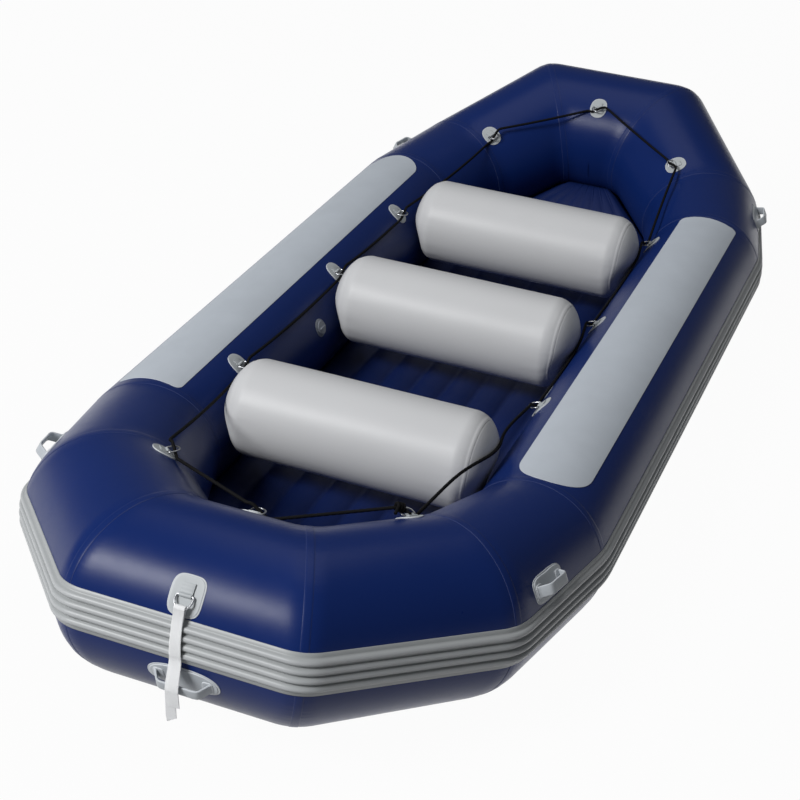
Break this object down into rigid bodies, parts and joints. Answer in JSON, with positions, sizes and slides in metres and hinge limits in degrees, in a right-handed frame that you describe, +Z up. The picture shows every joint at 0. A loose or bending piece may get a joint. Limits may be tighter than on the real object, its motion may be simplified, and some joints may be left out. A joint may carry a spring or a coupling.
{
  "type": "inflatable river raft",
  "caption": "Open inflatable river raft with mitred air tubes, an inflated floor, cross thwarts, a ribbed rub strake, a laced lifeline and carry handles.",
  "frame": {"origin": "on the ground, under the middle of the raft's length and width", "axes": "+Z up, -Y towards the bow with the tow ring, +X to port"},
  "size_m": [1.632, 4.0108, 0.6214],
  "materials": {
    "navy_tube_fabric": "satin coated fabric",
    "navy_floor_fabric": "matt coated fabric",
    "grey_thwart_fabric": "satin coated fabric",
    "grey_wear_patch": "fine pebbled sheet",
    "pale_strake_rubber": "satin extruded rubber",
    "pale_patch_rubber": "matt sheet",
    "grey_handle_rubber": "moulded",
    "steel_ring": "drawn stainless wire",
    "black_rope": "braided cord",
    "pale_webbing": "woven webbing",
    "grey_valve_plastic": "moulded"
  },
  "bodies": {
    "hull": {"bow_tube": "navy_tube_fabric", "bow_port_corner_tube": "navy_tube_fabric", "port_side_tube": "navy_tube_fabric", "stern_port_corner_tube": "navy_tube_fabric", "stern_tube": "navy_tube_fabric", "stern_starboard_corner_tube": "navy_tube_fabric", "starboard_side_tube": "navy_tube_fabric", "bow_starboard_corner_tube": "navy_tube_fabric", "bow_baffle": "navy_tube_fabric", "stern_baffle": "navy_tube_fabric", "rub_strake": "pale_strake_rubber", "port_wear_patch": "grey_wear_patch", "starboard_wear_patch": "grey_wear_patch", "floor": "navy_floor_fabric", "floor_flange": "navy_floor_fabric", "thwart_1": "grey_thwart_fabric", "thwart_2": "grey_thwart_fabric", "thwart_3": "grey_thwart_fabric", "port_valve_body": "grey_valve_plastic", "starboard_valve_body": "grey_valve_plastic", "thwart_1_valve": "grey_valve_plastic", "thwart_2_valve": "grey_valve_plastic", "thwart_3_valve": "grey_valve_plastic", "floor_valve_body": "grey_valve_plastic", "life_patch_bow": "pale_patch_rubber", "life_patch_bow_port": "pale_patch_rubber", "life_patch_port_1": "pale_patch_rubber", "life_patch_port_2": "pale_patch_rubber", "life_patch_port_3": "pale_patch_rubber", "life_patch_stern_port": "pale_patch_rubber", "life_patch_stern": "pale_patch_rubber", "life_patch_stern_starboard": "pale_patch_rubber", "life_patch_starboard_3": "pale_patch_rubber", "life_patch_starboard_2": "pale_patch_rubber", "life_patch_starboard_1": "pale_patch_rubber", "life_patch_bow_starboard": "pale_patch_rubber", "lifeline_rope": "black_rope", "tow_patch": "pale_patch_rubber", "bow_port_handle": "grey_handle_rubber", "stern_port_handle": "grey_handle_rubber", "stern_starboard_handle": "grey_handle_rubber", "bow_starboard_handle": "grey_handle_rubber", "bow_handle": "grey_handle_rubber"},
    "life_ring_bow": {"life_ring_bow": "steel_ring"},
    "life_ring_bow_port": {"life_ring_bow_port": "steel_ring"},
    "life_ring_port_1": {"life_ring_port_1": "steel_ring"},
    "life_ring_port_2": {"life_ring_port_2": "steel_ring"},
    "life_ring_port_3": {"life_ring_port_3": "steel_ring"},
    "life_ring_stern_port": {"life_ring_stern_port": "steel_ring"},
    "life_ring_stern": {"life_ring_stern": "steel_ring"},
    "life_ring_stern_starboard": {"life_ring_stern_starboard": "steel_ring"},
    "life_ring_starboard_3": {"life_ring_starboard_3": "steel_ring"},
    "life_ring_starboard_2": {"life_ring_starboard_2": "steel_ring"},
    "life_ring_starboard_1": {"life_ring_starboard_1": "steel_ring"},
    "life_ring_bow_starboard": {"life_ring_bow_starboard": "steel_ring"},
    "tow_ring": {"tow_ring": "steel_ring", "tow_strap": "pale_webbing"},
    "port_valve_cap": {"port_valve_cap": "grey_valve_plastic"},
    "starboard_valve_cap": {"starboard_valve_cap": "grey_valve_plastic"},
    "floor_valve_cap": {"floor_valve_cap": "grey_valve_plastic"}
  },
  "joints": [
    {"name": "life_ring_bow_swing", "type": "hinge", "parent": "hull", "child": "life_ring_bow", "pos_m": [0, -1.5386, 0.46294], "axis": [-1, 0, 0], "range_deg": [-8, 8]},
    {"name": "life_ring_bow_port_swing", "type": "hinge", "parent": "hull", "child": "life_ring_bow_port", "pos_m": [0.34882, -1.36059, 0.45542], "axis": [-0.6329, -0.7586, 0.155], "range_deg": [-8, 8]},
    {"name": "life_ring_port_1_swing", "type": "hinge", "parent": "hull", "child": "life_ring_port_1", "pos_m": [0.42279, -0.45489, 0.33411], "axis": [0.0002, -1, 0.0002], "range_deg": [-8, 8]},
    {"name": "life_ring_port_2_swing", "type": "hinge", "parent": "hull", "child": "life_ring_port_2", "pos_m": [0.42269, 0.14911, 0.33398], "axis": [0.0001, -1, 0.0002], "range_deg": [-8, 8]},
    {"name": "life_ring_port_3_swing", "type": "hinge", "parent": "hull", "child": "life_ring_port_3", "pos_m": [0.42258, 0.86611, 0.33382], "axis": [0.0002, -1, 0.0002], "range_deg": [-8, 8]},
    {"name": "life_ring_stern_port_swing", "type": "hinge", "parent": "hull", "child": "life_ring_stern_port", "pos_m": [0.37567, 1.37749, 0.45243], "axis": [0.5546, -0.7284, -0.4023], "range_deg": [-8, 8]},
    {"name": "life_ring_stern_swing", "type": "hinge", "parent": "hull", "child": "life_ring_stern", "pos_m": [0, 1.57436, 0.54789], "axis": [1, 0, 0], "range_deg": [-8, 8]},
    {"name": "life_ring_stern_starboard_swing", "type": "hinge", "parent": "hull", "child": "life_ring_stern_starboard", "pos_m": [-0.36579, 1.3571, 0.43331], "axis": [0.5578, 0.7223, 0.4089], "range_deg": [-8, 8]},
    {"name": "life_ring_starboard_3_swing", "type": "hinge", "parent": "hull", "child": "life_ring_starboard_3", "pos_m": [-0.45703, 0.59911, 0.37085], "axis": [0.0002, 1, -0.0002], "range_deg": [-8, 8]},
    {"name": "life_ring_starboard_2_swing", "type": "hinge", "parent": "hull", "child": "life_ring_starboard_2", "pos_m": [-0.45715, 0.03611, 0.37095], "axis": [0.0002, 1, -0.0002], "range_deg": [-8, 8]},
    {"name": "life_ring_starboard_1_swing", "type": "hinge", "parent": "hull", "child": "life_ring_starboard_1", "pos_m": [-0.4573, -0.69989, 0.37108], "axis": [0.0002, 1, -0.0002], "range_deg": [-8, 8]},
    {"name": "life_ring_bow_starboard_swing", "type": "hinge", "parent": "hull", "child": "life_ring_bow_starboard", "pos_m": [-0.34882, -1.36059, 0.45542], "axis": [-0.6329, 0.7586, -0.155], "range_deg": [-8, 8]},
    {"name": "tow_ring_swing", "type": "hinge", "parent": "hull", "child": "tow_ring", "pos_m": [0, -1.91689, 0.45446], "axis": [-1, 0, 0], "range_deg": [0, 75]},
    {"name": "port_valve_cap_turn", "type": "hinge", "parent": "hull", "child": "port_valve_cap", "pos_m": [0.39074, -0.21889, 0.24414], "axis": [-0.984, 0, 0.178], "range_deg": [0, 90]},
    {"name": "starboard_valve_cap_turn", "type": "hinge", "parent": "hull", "child": "starboard_valve_cap", "pos_m": [-0.40294, -0.21889, 0.28601], "axis": [0.9255, 0, 0.3788], "range_deg": [0, 90]},
    {"name": "floor_valve_cap_turn", "type": "hinge", "parent": "hull", "child": "floor_valve_cap", "pos_m": [0.05155, 0.70511, 0.10529], "axis": [0, 0, 1], "range_deg": [0, 90]}
  ]
}
